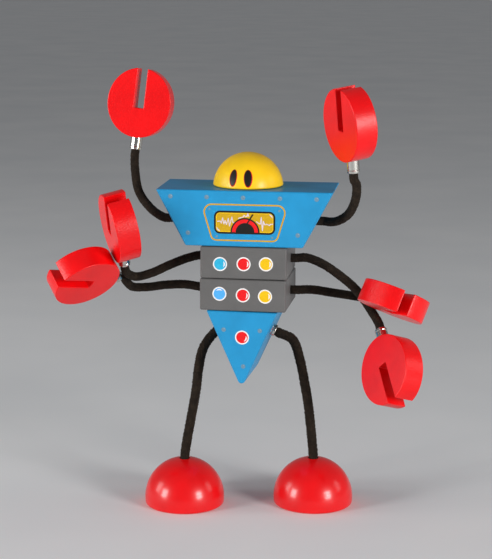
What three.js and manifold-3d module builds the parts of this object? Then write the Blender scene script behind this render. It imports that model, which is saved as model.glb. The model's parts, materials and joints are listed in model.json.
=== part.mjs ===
// A bendable robot of painted wooden blocks. Magnets hold the blocks in a stack, and six cloth-covered
// wire arms end in slotted claw discs that cling to a steel ferrule on the wire. It stands on two domes.
// Millimetres, +Z up. The robot faces -Y, and "left" is the side at -X, as a viewer in front sees it.
import * as THREE from 'three';
import { mergeVertices } from 'three/addons/utils/BufferGeometryUtils.js';
import Module from 'manifold-3d';

// Driving dimensions.
const GAP = 0.3; // clearance between pieces that touch
const BLOCK_DEPTH = 43; // every block of the stack, front to back
const BLOCK_CHAMFER = 0.6;
const CHEST = { top: 98, bottom: 65, height: 31 };
const BELLY = { width: 48, height: 17.8 };
const PELVIS = { width: 40, sharpHeight: 44, tipRadius: 2.1, top: 117.1 };
const HEAD = { sphere: 19.63, height: 18.5, edge: 0.7, offset: [-0.5, 1] };
const FOOT = { sphere: 22.8, drop: 4, edge: 1.2, legDepth: 9 };
const CLAW = { width: 37, length: 40, thickness: 12.5, slotWidth: 5.7, slotDepth: 23, seat: 1.4 };
const SLEEVE_RADIUS = 2.4;
const WIRE_RADIUS = 0.9;
const BORE_RADIUS = WIRE_RADIUS + GAP;
const FERRULE = { radius: 3.45, length: 8, cupDepth: 5, tip: 1.1, hipShown: 2.4 };
const SLEEVE_SEAT = FERRULE.cupDepth - GAP; // how far a sleeve goes into its ferrule
const STACK_MAGNET = { radius: 5, length: 3 };
const LIMB_MAGNET = { radius: 3, length: 3 };
const BALL_RADIUS = SLEEVE_RADIUS + 0.15; // the round end of a sleeve that swings about it
const SOCKET = { radius: 3.1, depth: 3.5, ballOut: 2 };
const GLUED_DEPTH = 7; // how far a glued sleeve goes into its block
const ELBOW_AT = 0.45; // fraction of an arm's length where its wire is bent
const KNEE_AT = 0.5;

// How far each block is turned on the one below the head, in degrees about +Z.
const TWIST = { chest: 0, upper: -0.5, lower: -1.5, pelvis: -3 };

// Heights of the stack, from the floor.
const LOWER_BOTTOM = PELVIS.top + GAP;
const UPPER_BOTTOM = LOWER_BOTTOM + BELLY.height + GAP;
const CHEST_BOTTOM = UPPER_BOTTOM + BELLY.height + GAP;
const CHEST_TOP = CHEST_BOTTOM + CHEST.height;
const HEAD_BASE = CHEST_TOP + GAP;
const UPPER_ARM_Z = UPPER_BOTTOM + BELLY.height / 2;
const LOWER_ARM_Z = LOWER_BOTTOM + BELLY.height / 2;
const CHEST_ARM_DROP = 19; // below the chest's top
const CHEST_ARM_Z = CHEST_TOP - CHEST_ARM_DROP;
const CHEST_ARM_X = (CHEST.top - (CHEST.top - CHEST.bottom) * (CHEST_ARM_DROP / CHEST.height)) / 2;

// The hips leave the slanted sides of the pelvis square to them.
const PELVIS_SLOPE = Math.atan(PELVIS.width / 2 / PELVIS.sharpHeight);
const HIP_DROP = 14; // below the pelvis's top
const HIP_X = PELVIS.width / 2 - HIP_DROP * Math.tan(PELVIS_SLOPE);
const HIP_Z = PELVIS.top - HIP_DROP;

// Facets of round pieces.
const SIDES = { dome: 28, domeRise: 8, claw: 18, ferrule: 12, magnet: 14, pocket: 14, sleeve: 8, wire: 6 };
const STEP = 4; // length of one straight stretch of a bent tube
const TAIL = 6; // how far a limb's curve runs on past the ends of its sleeve, for the cutting tools
const STRAIGHT = { root: 3, ball: 2, hip: 2.6, cup: 4 }; // straight stretches at the ends of a limb

// Each arm: where it leaves its block, the points that its wire is bent through, and its claw's centre,
// slot direction and face direction. All are in the frame of the block, which is turned about Z only.
const ARMS = [
  { name: 'left_top_arm', block: 'chest', root: [-CHEST_ARM_X, CHEST_ARM_Z],
    route: [[-47, 1.5, 165.1], [-50.9, 4, 165.8], [-58, 9, 169.6], [-65.9, 17, 177.5], [-69.6, 25, 188]],
    claw: { at: [-67.5, 33.3, 226.7], slot: [0.11, 0.09, 0.99], face: [0, -1, 0.09] } },
  { name: 'right_top_arm', block: 'chest', root: [CHEST_ARM_X, CHEST_ARM_Z],
    route: [
      [46, -2.2, 165.6], [50.5, -5.4, 166.9], [56.4, -10, 171.4], [60.6, -17, 180.3], [61.4, -22, 189.3],
    ],
    claw: { at: [57.9, -27.4, 222.8], slot: [-0.07, -0.15, 0.99], face: [-0.83, -0.54, -0.14] } },
  { name: 'left_middle_arm', block: 'upper', root: [-BELLY.width / 2, UPPER_ARM_Z],
    route: [
      [-34.4, -1.3, 142.9], [-44.5, -2.9, 138.9], [-54.7, -3.5, 134.1], [-64, -3.6, 131.6],
      [-68, -7.2, 134],
    ],
    claw: { at: [-68, -26.1, 164.1], slot: [0.02, -0.49, 0.87], face: [-0.88, -0.43, -0.22] } },
  { name: 'right_middle_arm', block: 'upper', root: [BELLY.width / 2, UPPER_ARM_Z], elbow: true,
    route: [[33, -0.6, 144.8], [42.2, -1.6, 141.6], [52.4, -2, 135], [61.2, -2.5, 127.6], [69, -4.9, 117.8]],
    claw: { at: [83.2, -30.2, 88.9], slot: [0.28, -0.66, -0.69], face: [-0.73, -0.62, 0.29] } },
  { name: 'left_low_arm', block: 'lower', root: [-BELLY.width / 2, LOWER_ARM_Z],
    route: [
      [-36.8, 1, 127], [-48.9, 3.7, 125.7], [-60.1, 6.4, 123.5], [-68.4, 4.9, 123.8], [-71, 1.2, 127.6],
    ],
    claw: { at: [-88.3, -28.7, 135.9], slot: [-0.53, -0.83, 0.16], face: [0.54, -0.48, -0.7] } },
  { name: 'right_low_arm', block: 'lower', root: [BELLY.width / 2, LOWER_ARM_Z], elbow: true,
    route: [[35.5, 4.9, 125.7], [46.2, 10.2, 123.3], [56.1, 14, 121.3], [64.6, 12.2, 120.6]],
    claw: { at: [83.4, -22.5, 126.4], slot: [0.4, -0.9, 0.15], face: [-0.33, -0.29, -0.9] } },
];

// Each leg: its side, the points of its bend and the middle of its foot, in the pelvis's frame.
const LEGS = [
  { name: 'left', side: -1, foot: [-35.7, -7.4],
    route: [
      [-25.3, -1.8, 91.8], [-28.1, -2.5, 80.8], [-29.7, -3.6, 66.2], [-32, -5, 51.6], [-34.1, -6.6, 38.8],
    ] },
  { name: 'right', side: 1, foot: [36.9, 7.5],
    route: [[25, 1.8, 97.4], [29.1, 2.5, 86.5], [31.7, 3.7, 73.5], [33.9, 4.8, 59.7], [35.6, 6.4, 43.3]] },
];

const material = (color, roughness, metalness = 0) =>
  new THREE.MeshStandardMaterial({ color, roughness, metalness });
const BLUE = material(0x45a4dc, 0.35);
const GREY = material(0x706e6b, 0.4);
const RED = material(0xe81a20, 0.35);
const YELLOW = material(0xfccb1e, 0.2);
const CLOTH = material(0x2a241f, 0.95);
const STEEL = material(0x8c8f92, 0.4, 1);
const NICKEL = material(0xd8d8d4, 0.15, 1);
const MAGNET = material(0x55585c, 0.3, 1);

const wasm = await Module();
wasm.setup();

const vector = (p) => new THREE.Vector3(...p);

// A closed three.js geometry as a solid that can be joined and cut.
function solid(geometry) {
  geometry.deleteAttribute('normal');
  geometry.deleteAttribute('uv');
  const merged = mergeVertices(geometry);
  const vertProperties = merged.attributes.position.array;
  return new wasm.Manifold(new wasm.Mesh({ numProp: 3, vertProperties, triVerts: merged.index.array }));
}

function geometryOf(body) {
  const mesh = body.getMesh();
  const geometry = new THREE.BufferGeometry();
  geometry.setAttribute('position', new THREE.BufferAttribute(mesh.vertProperties, 3));
  geometry.setIndex(new THREE.BufferAttribute(mesh.triVerts, 1));
  return geometry;
}

// The first geometry with all the others cut out of it.
function cut(geometry, ...tools) {
  return geometryOf(tools.reduce((body, tool) => body.subtract(solid(tool)), solid(geometry)));
}

// A rod that starts at a point and runs in a direction.
function rod(radius, length, sides, from = [0, 0, 0], direction = [0, 0, 1]) {
  const geometry = new THREE.CylinderGeometry(radius, radius, length, sides);
  geometry.rotateX(Math.PI / 2).translate(0, 0, length / 2);
  const along = vector(direction).normalize();
  const turn = new THREE.Quaternion().setFromUnitVectors(new THREE.Vector3(0, 0, 1), along);
  return geometry.applyQuaternion(turn).translate(...from);
}

// A front outline, drawn in X and Z, made as deep as the blocks are, with its front and back edges broken.
function block(outline) {
  const geometry = new THREE.ExtrudeGeometry(outline, {
    depth: BLOCK_DEPTH - 2 * BLOCK_CHAMFER, bevelThickness: BLOCK_CHAMFER, bevelSize: BLOCK_CHAMFER,
    bevelOffset: -BLOCK_CHAMFER, bevelSegments: 1, curveSegments: 4,
  });
  return geometry.rotateX(Math.PI / 2).translate(0, BLOCK_DEPTH / 2 - BLOCK_CHAMFER, 0);
}

// A disc magnet lies flush in a round pocket that leaves the usual clearance at its side and behind it.
const stackMagnet = (z) => rod(STACK_MAGNET.radius, STACK_MAGNET.length, SIDES.magnet, [0, 0, z]);
const pocketLength = STACK_MAGNET.length + GAP;
const pocketRadius = STACK_MAGNET.radius + GAP;
const pocketAbove = (z) => rod(pocketRadius, pocketLength + 1, SIDES.pocket, [0, 0, z - 1]);
const pocketBelow = (z) => rod(pocketRadius, pocketLength + 1, SIDES.pocket, [0, 0, z - pocketLength]);

// The hole in a block's side for an arm: a glued arm is a close fit, and one that swings has a wider mouth.
function armHole({ root, elbow }) {
  const side = Math.sign(root[0]);
  const depth = elbow ? GLUED_DEPTH + GAP : SOCKET.depth;
  const radius = elbow ? SLEEVE_RADIUS + GAP : SOCKET.radius;
  const outside = 4; // the cutting rod starts clear of the slanted sides
  return rod(radius, depth + outside, SIDES.pocket, [root[0] + side * outside, 0, root[1]], [-side, 0, 0]);
}
const armHoles = (name) => ARMS.filter((arm) => arm.block === name).map(armHole);

function polygon(points) {
  return new THREE.Shape(points.map(([x, z]) => new THREE.Vector2(x, z)));
}

function chestBlock() {
  const [top, bottom] = [CHEST.top / 2, CHEST.bottom / 2];
  const outline = polygon([
    [-bottom, CHEST_BOTTOM], [bottom, CHEST_BOTTOM], [top, CHEST_TOP], [-top, CHEST_TOP],
  ]);
  return cut(block(outline), pocketBelow(CHEST_TOP), pocketAbove(CHEST_BOTTOM), ...armHoles('chest'));
}

function bellyBlock(name, bottom) {
  const [half, top] = [BELLY.width / 2, bottom + BELLY.height];
  const outline = polygon([[-half, bottom], [half, bottom], [half, top], [-half, top]]);
  const bore = rod(pocketRadius, BELLY.height + 2, SIDES.pocket, [0, 0, bottom - 1]);
  return cut(block(outline), bore, ...armHoles(name));
}

const hipOut = (side) => new THREE.Vector3(side * Math.cos(PELVIS_SLOPE), 0, -Math.sin(PELVIS_SLOPE));
const hipPoint = (side, out) => new THREE.Vector3(side * HIP_X, 0, HIP_Z).addScaledVector(hipOut(side), out);
const HIP_SEAT = FERRULE.length - FERRULE.hipShown; // how deep a hip ferrule sits

function pelvisBlock() {
  const [half, r] = [PELVIS.width / 2, PELVIS.tipRadius];
  const tip = PELVIS.top - PELVIS.sharpHeight + r / Math.sin(PELVIS_SLOPE);
  const outline = new THREE.Shape();
  outline.moveTo(-half, PELVIS.top).lineTo(half, PELVIS.top);
  outline.lineTo(r * Math.cos(PELVIS_SLOPE), tip - r * Math.sin(PELVIS_SLOPE));
  outline.absarc(0, tip, r, -PELVIS_SLOPE, PELVIS_SLOPE - Math.PI, true);
  const tools = [pocketBelow(PELVIS.top)];
  for (const { side } of LEGS) {
    const inward = hipOut(side).negate().toArray();
    const seat = HIP_SEAT + GAP;
    const magnetSeat = seat + LIMB_MAGNET.length + GAP;
    const start = hipPoint(side, 1).toArray();
    tools.push(rod(FERRULE.radius + GAP, seat + 1, SIDES.pocket, start, inward));
    tools.push(rod(LIMB_MAGNET.radius + GAP, magnetSeat + 1, SIDES.pocket, start, inward));
  }
  return cut(block(outline), ...tools);
}

// A dome turned about Z: a flat base, a small broken edge, and a sphere whose middle is at the given height.
function dome(radius, middle, edge) {
  const flat = Math.sqrt(radius ** 2 - middle ** 2) - edge;
  const profile = [new THREE.Vector2(0, 0), new THREE.Vector2(flat, 0)];
  const start = Math.asin((edge - middle) / radius);
  for (let i = 0; i <= SIDES.domeRise; i++) {
    const angle = THREE.MathUtils.lerp(start, Math.PI / 2, i / SIDES.domeRise);
    const r = i === SIDES.domeRise ? 0 : radius * Math.cos(angle);
    profile.push(new THREE.Vector2(r, middle + radius * Math.sin(angle)));
  }
  return new THREE.LatheGeometry(profile, SIDES.dome).rotateX(Math.PI / 2);
}

const headDome = () => cut(dome(HEAD.sphere, HEAD.height - HEAD.sphere, HEAD.edge), pocketAbove(0));

function footDome() {
  const top = FOOT.drop + FOOT.sphere;
  const hole = rod(SLEEVE_RADIUS + GAP, FOOT.legDepth + 2, SIDES.pocket, [0, 0, top - FOOT.legDepth - GAP]);
  return cut(dome(FOOT.sphere, FOOT.drop, FOOT.edge), hole);
}

// A claw: an oval disc with a slot from its rim to past its middle. X is across it, +Y is out along the
// slot, and +Z is its face. At the rim opposite the slot it has a seat for the ferrule, and the magnet.
function clawDisc() {
  const [rx, ry, half] = [CLAW.width / 2, CLAW.length / 2, CLAW.slotWidth / 2];
  const lip = Math.acos(half / rx);
  const outline = new THREE.Shape();
  outline.moveTo(half, ry - CLAW.slotDepth).lineTo(half, ry * Math.sin(lip));
  outline.absellipse(0, 0, rx, ry, lip, Math.PI - lip, true);
  outline.lineTo(-half, ry - CLAW.slotDepth);
  const geometry = new THREE.ExtrudeGeometry(outline, {
    depth: CLAW.thickness, bevelEnabled: false, curveSegments: SIDES.claw,
  }).translate(0, 0, -CLAW.thickness / 2);
  const start = [0, -ry - 1, 0];
  const seat = rod(FERRULE.radius + GAP, CLAW.seat + 1, SIDES.pocket, start, [0, 1, 0]);
  const pocketEnd = CLAW.seat + LIMB_MAGNET.length + GAP;
  const pocket = rod(LIMB_MAGNET.radius + GAP, pocketEnd + 1, SIDES.pocket, start, [0, 1, 0]);
  return cut(geometry, seat, pocket);
}

function clawMagnet() {
  const start = [0, CLAW.seat - CLAW.length / 2, 0];
  return rod(LIMB_MAGNET.radius, LIMB_MAGNET.length, SIDES.magnet, start, [0, 1, 0]);
}

// A steel cup on the end of a limb. Its mouth is at the origin and its closed end is up the Z axis.
function ferrule() {
  const inner = SLEEVE_RADIUS + GAP;
  const { radius, length, cupDepth } = FERRULE;
  const points = [[0, cupDepth], [inner, cupDepth], [inner, 0], [radius, 0], [radius, length], [0, length]];
  const profile = points.map(([x, y]) => new THREE.Vector2(x, y));
  return new THREE.LatheGeometry(profile, SIDES.ferrule).rotateX(Math.PI / 2);
}

// The part of a curve between two distances along it.
class Stretch extends THREE.Curve {
  constructor(curve, from, to) {
    super();
    Object.assign(this, { curve, from, to, whole: curve.getLength() });
  }

  getPoint(t) {
    return this.curve.getPointAt(THREE.MathUtils.lerp(this.from, this.to, t) / this.whole);
  }
}

// A bent rod along a stretch of a curve. It may run whole steps past the stretch's ends, or stop short.
function tube(curve, from, to, radius, sides, before = 0, after = 0) {
  const corners = [];
  for (let i = 0; i < sides; i++) {
    const angle = (2 * Math.PI * i) / sides;
    corners.push([radius * Math.cos(angle), radius * Math.sin(angle)]);
  }
  const steps = Math.max(2, Math.round((to - from) / STEP));
  const step = (to - from) / steps;
  return new THREE.ExtrudeGeometry(polygon(corners), {
    steps: steps + before + after,
    extrudePath: new Stretch(curve, from - before * step, to + after * step),
  });
}

// A stretch of cloth sleeve with the wire's bore along it. The bore is faceted at the same places as the
// wire, so that the clearance holds round the bends. A ball ends a sleeve that swings about its start, and
// the bore of such a sleeve starts inside the ball, with its wire one step further in.
function sleeve(curve, from, to, swings) {
  let body = solid(tube(curve, from, to, SLEEVE_RADIUS, SIDES.sleeve));
  const bore = solid(tube(curve, from, to, BORE_RADIUS, SIDES.wire, swings ? 0 : 1, 1));
  if (swings) {
    const ball = new THREE.SphereGeometry(BALL_RADIUS, SIDES.sleeve, SIDES.sleeve / 2);
    const centre = curve.getPointAt(from / curve.getLength());
    const along = curve.getTangentAt(from / curve.getLength());
    ball.applyQuaternion(new THREE.Quaternion().setFromUnitVectors(new THREE.Vector3(0, 1, 0), along));
    body = body.add(solid(ball.translate(...centre)));
  }
  return geometryOf(body.subtract(bore));
}

function add(group, name, geometry, look, position = new THREE.Vector3()) {
  const mesh = new THREE.Mesh(geometry, look);
  mesh.name = name;
  mesh.position.copy(position);
  group.add(mesh);
  return mesh;
}

// Sleeve and wire between two distances along a limb's curve, as two meshes whose origin is the start.
function covered(group, name, curve, from, to, swings) {
  const origin = curve.getPointAt(from / curve.getLength());
  const back = origin.clone().negate();
  const wire = tube(curve, from, to, WIRE_RADIUS, SIDES.wire, swings ? -1 : 0);
  add(group, `${name}_sleeve`, sleeve(curve, from, to, swings).translate(...back), CLOTH, origin);
  add(group, `${name}_wire`, wire.translate(...back), STEEL, origin);
}

// A limb that is bent at one place has a covered stretch on each side of that place.
const BEND_GAP = BALL_RADIUS + GAP;
function coveredInTwo(group, names, curve, from, bend, to) {
  covered(group, names[0], curve, from, bend - BEND_GAP, false);
  covered(group, names[1], curve, bend, to, true);
}

function arm(group, { name, root, elbow, route, claw }) {
  const side = Math.sign(root[0]);
  const slot = vector(claw.slot).normalize();
  const centre = vector(claw.at);
  const mouth = centre.clone().addScaledVector(slot, FERRULE.tip - CLAW.length / 2 - FERRULE.length);
  const along = (distance) => mouth.clone().addScaledVector(slot, distance);
  const outs = elbow
    ? [-GLUED_DEPTH - TAIL, 0, STRAIGHT.root]
    : [SOCKET.ballOut, SOCKET.ballOut + STRAIGHT.ball];
  const exit = outs.map((out) => new THREE.Vector3(root[0] + side * out, 0, root[1]));
  const points = [...exit, ...route.map(vector), along(-STRAIGHT.cup), mouth, along(SLEEVE_SEAT + TAIL)];
  const curve = new THREE.CatmullRomCurve3(points);
  const end = curve.getLength() - TAIL;
  if (elbow) {
    const names = [`${name}_inner`, `${name}_outer`];
    coveredInTwo(group, names, curve, TAIL, curve.getLength() * ELBOW_AT, end);
  } else {
    covered(group, name, curve, 0, end, true);
  }
  const cup = add(group, `${name}_ferrule`, ferrule(), NICKEL, mouth);
  cup.quaternion.setFromUnitVectors(new THREE.Vector3(0, 0, 1), slot);
  const face = vector(claw.face);
  face.addScaledVector(slot, -face.dot(slot)).normalize();
  const across = new THREE.Vector3().crossVectors(slot, face);
  const turn = new THREE.Matrix4().makeBasis(across, slot, face);
  const disc = add(group, `${name}_claw`, clawDisc(), RED, centre);
  const magnet = add(group, `${name}_claw_magnet`, clawMagnet(), MAGNET, centre);
  for (const mesh of [disc, magnet]) mesh.quaternion.setFromRotationMatrix(turn);
}

function leg(group, { name, side, foot, route }) {
  const out = hipOut(side);
  const top = FOOT.drop + FOOT.sphere;
  const mouth = hipPoint(side, FERRULE.hipShown);
  const end = top - FOOT.legDepth - TAIL;
  const inside = mouth.clone().addScaledVector(out, -SLEEVE_SEAT - TAIL);
  const points = [inside, mouth, hipPoint(side, FERRULE.hipShown + STRAIGHT.hip),
    ...route.map(vector), new THREE.Vector3(...foot, top), new THREE.Vector3(...foot, end)];
  const curve = new THREE.CatmullRomCurve3(points);
  const names = [`${name}_thigh`, `${name}_shin`];
  coveredInTwo(group, names, curve, TAIL, curve.getLength() * KNEE_AT, curve.getLength() - TAIL);
  const cup = add(group, `${name}_hip_ferrule`, ferrule(), NICKEL, mouth);
  cup.quaternion.setFromUnitVectors(new THREE.Vector3(0, 0, 1), out.clone().negate());
  const magnetAt = hipPoint(side, -HIP_SEAT - GAP).toArray();
  const inward = out.clone().negate().toArray();
  const hipMagnet = rod(LIMB_MAGNET.radius, LIMB_MAGNET.length, SIDES.magnet, magnetAt, inward);
  add(group, `${name}_hip_magnet`, hipMagnet, MAGNET);
  add(group, `${name}_foot`, footDome(), RED, new THREE.Vector3(...foot, 0));
}

const robot = new THREE.Group();
const groups = {};
for (const [name, degrees] of Object.entries(TWIST)) {
  groups[name] = new THREE.Group();
  groups[name].rotation.z = THREE.MathUtils.degToRad(degrees);
  robot.add(groups[name]);
}

const headAt = new THREE.Vector3(...HEAD.offset, HEAD_BASE);
add(groups.chest, 'head_dome', headDome(), YELLOW, headAt);
add(groups.chest, 'head_magnet', stackMagnet(0), MAGNET, headAt);
add(groups.chest, 'chest_block', chestBlock(), BLUE);
add(groups.chest, 'chest_top_magnet', stackMagnet(CHEST_TOP - STACK_MAGNET.length), MAGNET);
add(groups.chest, 'chest_bottom_magnet', stackMagnet(CHEST_BOTTOM), MAGNET);
for (const [name, bottom] of [['upper', UPPER_BOTTOM], ['lower', LOWER_BOTTOM]]) {
  const slug = rod(STACK_MAGNET.radius, BELLY.height, SIDES.magnet, [0, 0, bottom]);
  add(groups[name], `${name}_block`, bellyBlock(name, bottom), GREY);
  add(groups[name], `${name}_block_magnet`, slug, MAGNET);
}
add(groups.pelvis, 'pelvis_block', pelvisBlock(), BLUE);
add(groups.pelvis, 'pelvis_magnet', stackMagnet(PELVIS.top - STACK_MAGNET.length), MAGNET);
for (const spec of ARMS) arm(groups[spec.block], spec);
for (const spec of LEGS) leg(groups.pelvis, spec);

// The origin is on the floor, under the middle of the robot's bounding box.
const box = new THREE.Box3().setFromObject(robot, true);
const middle = box.getCenter(new THREE.Vector3());
robot.position.set(-middle.x, -middle.y, -box.min.z);

export default robot;
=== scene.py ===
import json
import math
import random

import bmesh
import bpy
from mathutils import Matrix, Quaternion, Vector

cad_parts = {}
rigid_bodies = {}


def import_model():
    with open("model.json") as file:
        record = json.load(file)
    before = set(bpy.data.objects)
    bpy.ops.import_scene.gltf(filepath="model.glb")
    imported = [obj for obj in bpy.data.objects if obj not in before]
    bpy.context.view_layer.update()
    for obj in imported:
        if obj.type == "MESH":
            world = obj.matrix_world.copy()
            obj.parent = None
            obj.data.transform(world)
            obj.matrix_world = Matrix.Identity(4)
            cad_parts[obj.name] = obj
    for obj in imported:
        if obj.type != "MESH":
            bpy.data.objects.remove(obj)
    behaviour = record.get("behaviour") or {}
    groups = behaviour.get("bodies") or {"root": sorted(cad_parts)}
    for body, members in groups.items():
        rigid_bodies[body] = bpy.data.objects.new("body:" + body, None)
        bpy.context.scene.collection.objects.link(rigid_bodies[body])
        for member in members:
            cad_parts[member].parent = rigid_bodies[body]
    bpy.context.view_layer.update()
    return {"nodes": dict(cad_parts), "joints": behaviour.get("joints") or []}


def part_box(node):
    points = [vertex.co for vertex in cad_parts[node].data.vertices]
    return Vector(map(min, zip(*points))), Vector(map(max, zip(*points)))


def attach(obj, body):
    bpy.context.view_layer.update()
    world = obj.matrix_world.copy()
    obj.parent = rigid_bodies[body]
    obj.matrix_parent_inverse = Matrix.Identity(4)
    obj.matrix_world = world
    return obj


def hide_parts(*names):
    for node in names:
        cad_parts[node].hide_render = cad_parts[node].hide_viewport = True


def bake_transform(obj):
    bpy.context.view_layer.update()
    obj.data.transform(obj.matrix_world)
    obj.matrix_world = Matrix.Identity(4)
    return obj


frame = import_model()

MM = 0.001
GAP = 0.3
OWN_PLACE = "own_place"
rng = random.Random(7)

# Sizes, as in the CAD model.
DEPTH = 43
EDGE = 0.9  # rounding of the blocks' edges
CHEST_TOP, CHEST_BOTTOM = 184.6, 153.6
CHEST_WIDTH_TOP, CHEST_WIDTH_BOTTOM = 98, 65
BELLY_WIDTH, BELLY_HEIGHT = 48, 17.8
UPPER_BOTTOM, LOWER_BOTTOM = 135.5, 117.4
PELVIS_WIDTH, PELVIS_TOP, PELVIS_SHARP, PELVIS_TIP = 40, 117.1, 44, 2.1
HEAD_RADIUS, HEAD_HEIGHT, HEAD_EDGE, HEAD_BASE, HEAD_OFFSET = 19.63, 18.5, 0.8, 184.9, (-0.5, 1)
FOOT_RADIUS, FOOT_DROP, FOOT_EDGE, LEG_DEPTH = 22.8, 4, 1.5, 9
CLAW_WIDTH, CLAW_LENGTH, CLAW_THICKNESS, CLAW_EDGE = 37, 40, 12.5, 0.5
SLOT_WIDTH, SLOT_DEPTH, CLAW_SEAT = 5.7, 23, 1.4
SLEEVE_RADIUS, WIRE_RADIUS = 2.4, 0.9
# The cloth's brushed surface: how far it stands out, how worn down it is, over what length it fades out,
# and what part of it, one in NAP_BASE, is an even layer.
ARM_NAP, LEG_NAP = 0.2, 0.5
NAP_WEAR, NAP_FADE, NAP_BASE = 0.12, 1.5, 5
CLOTH_SIDES, CLOTH_STEP = 40, 0.32
WIRE_SIDES, WIRE_STEP = 12, 1.5
# How far a limb's bend spreads to each side of its joint, and where the bend lies, along the limb, if the
# joint is too near the limb's start for that.
BEND_SPAN, START_BEND = 5, (1.5, 14)
# A limb's straight stretches: out of a glued hole, a ball, the pelvis, and into a claw's ferrule.
GLUED_LEAD, BALL_LEAD, HIP_LEAD, CUP_LEAD = 3, 2, 5, 4
# How far a cutting rod runs out past a flat face, a chest or belly side, and a dome's top.
PAST, SIDE_PAST, DOME_PAST = 1, 4, 2
SMOOTH_UNDER = 32  # a corner that turns by more degrees than this stays sharp
FERRULE_RADIUS, FERRULE_LENGTH, CUP_DEPTH, FERRULE_TIP, HIP_SHOWN = 3.45, 8, 5, 1.1, 2.4
SEATED = CUP_DEPTH - GAP
STACK_MAGNET_RADIUS, STACK_MAGNET_LENGTH = 5, 3
LIMB_MAGNET_RADIUS, LIMB_MAGNET_LENGTH = 3, 3
SOCKET_RADIUS, SOCKET_DEPTH, BALL_OUT, GLUED_DEPTH = 3.1, 3.5, 2, 7
TWIST = {"chest": 0, "upper": -0.5, "lower": -1.5, "pelvis": -3}
BODY = {"chest": "chest", "upper": "upper_belly", "lower": "lower_belly", "pelvis": "pelvis"}

CHEST_HEIGHT, CHEST_ARM_DROP = 31, 19
CHEST_ARM_Z = CHEST_TOP - CHEST_ARM_DROP
CHEST_TAPER = CHEST_WIDTH_TOP - CHEST_WIDTH_BOTTOM
CHEST_ARM_X = (CHEST_WIDTH_TOP - CHEST_TAPER * CHEST_ARM_DROP / CHEST_HEIGHT) / 2
UPPER_ARM_Z = UPPER_BOTTOM + BELLY_HEIGHT / 2
LOWER_ARM_Z = LOWER_BOTTOM + BELLY_HEIGHT / 2

# Each arm's block, where it leaves the block, whether it is glued in and bends at an elbow, the points that
# it bends through, its claw's middle, and the directions of the claw's slot and face.
ARMS = [
    ("left_top_arm", "chest", -CHEST_ARM_X, CHEST_ARM_Z, False,
     [(-47, 1.5, 165.1), (-50.9, 4, 165.8), (-58, 9, 169.6), (-65.9, 17, 177.5), (-69.6, 25, 188)],
     (-67.5, 33.3, 226.7), (0.11, 0.09, 0.99), (0, -1, 0.09)),
    ("right_top_arm", "chest", CHEST_ARM_X, CHEST_ARM_Z, False,
     [(46, -2.2, 165.6), (50.5, -5.4, 166.9), (56.4, -10, 171.4), (60.6, -17, 180.3), (61.4, -22, 189.3)],
     (57.9, -27.4, 222.8), (-0.07, -0.15, 0.99), (-0.83, -0.54, -0.14)),
    ("left_middle_arm", "upper", -BELLY_WIDTH / 2, UPPER_ARM_Z, False,
     [(-34.4, -1.3, 142.9), (-44.5, -2.9, 138.9), (-54.7, -3.5, 134.1), (-64, -3.6, 131.6), (-68, -7.2, 134)],
     (-68, -26.1, 164.1), (0.02, -0.49, 0.87), (-0.88, -0.43, -0.22)),
    ("right_middle_arm", "upper", BELLY_WIDTH / 2, UPPER_ARM_Z, True,
     [(33, -0.6, 144.8), (42.2, -1.6, 141.6), (52.4, -2, 135), (61.2, -2.5, 127.6), (69, -4.9, 117.8)],
     (83.2, -30.2, 88.9), (0.28, -0.66, -0.69), (-0.73, -0.62, 0.29)),
    ("left_low_arm", "lower", -BELLY_WIDTH / 2, LOWER_ARM_Z, False,
     [(-36.8, 1, 127), (-48.9, 3.7, 125.7), (-60.1, 6.4, 123.5), (-68.4, 4.9, 123.8), (-71, 1.2, 127.6)],
     (-88.3, -28.7, 135.9), (-0.53, -0.83, 0.16), (0.54, -0.48, -0.7)),
    ("right_low_arm", "lower", BELLY_WIDTH / 2, LOWER_ARM_Z, True,
     [(35.5, 4.9, 125.7), (46.2, 10.2, 123.3), (56.1, 14, 121.3), (64.6, 12.2, 120.6)],
     (83.4, -22.5, 126.4), (0.4, -0.9, 0.15), (-0.33, -0.29, -0.9)),
]
# Each leg's side, where its foot stands, and the points that it bends through.
LEGS = [
    ("left", -1, (-35.7, -7.4),
     [(-25.3, -1.8, 91.8), (-28.1, -2.5, 80.8), (-29.7, -3.6, 66.2), (-32, -5, 51.6), (-34.1, -6.6, 38.8)]),
    ("right", 1, (36.9, 7.5),
     [(25, 1.8, 97.4), (29.1, 2.5, 86.5), (31.7, 3.7, 73.5), (33.9, 4.8, 59.7), (35.6, 6.4, 43.3)]),
]

chest_low, chest_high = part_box("chest_block")
AXIS = (chest_low + chest_high) / 2
SLOPE = math.atan(PELVIS_WIDTH / 2 / PELVIS_SHARP)
HIP_DROP = 14
HIP_X = PELVIS_WIDTH / 2 - HIP_DROP * math.tan(SLOPE)
HIP_SEAT = FERRULE_LENGTH - HIP_SHOWN


def block_frame(block):
    """The place of a block's frame: on the floor under the stack, turned as the block is."""
    return Matrix.Translation((AXIS.x, AXIS.y, 0)) @ Matrix.Rotation(math.radians(TWIST[block]), 4, "Z")


def joint_between(parent, child):
    return next(j for j in frame["joints"] if j["parent"] == parent and j["child"] == child)


# ---------------------------------------------------------------- materials


def shader(name, roughness, **constants):
    """A new material, its node tree and its Principled shader. Constant values go on the shader itself."""
    made = bpy.data.materials.new(name)
    made.use_nodes = True
    principled = made.node_tree.nodes["Principled BSDF"]
    principled.inputs["Roughness"].default_value = roughness
    for socket, value in constants.items():
        principled.inputs[socket.replace("_", " ")].default_value = value
    return made, made.node_tree, principled


def linear(color):
    """An sRGB hex colour as linear RGBA."""
    channels = [int(color[i:i + 2], 16) / 255 for i in (0, 2, 4)]
    return [c / 12.92 if c <= 0.04045 else ((c + 0.055) / 1.055) ** 2.4 for c in channels] + [1]


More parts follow.
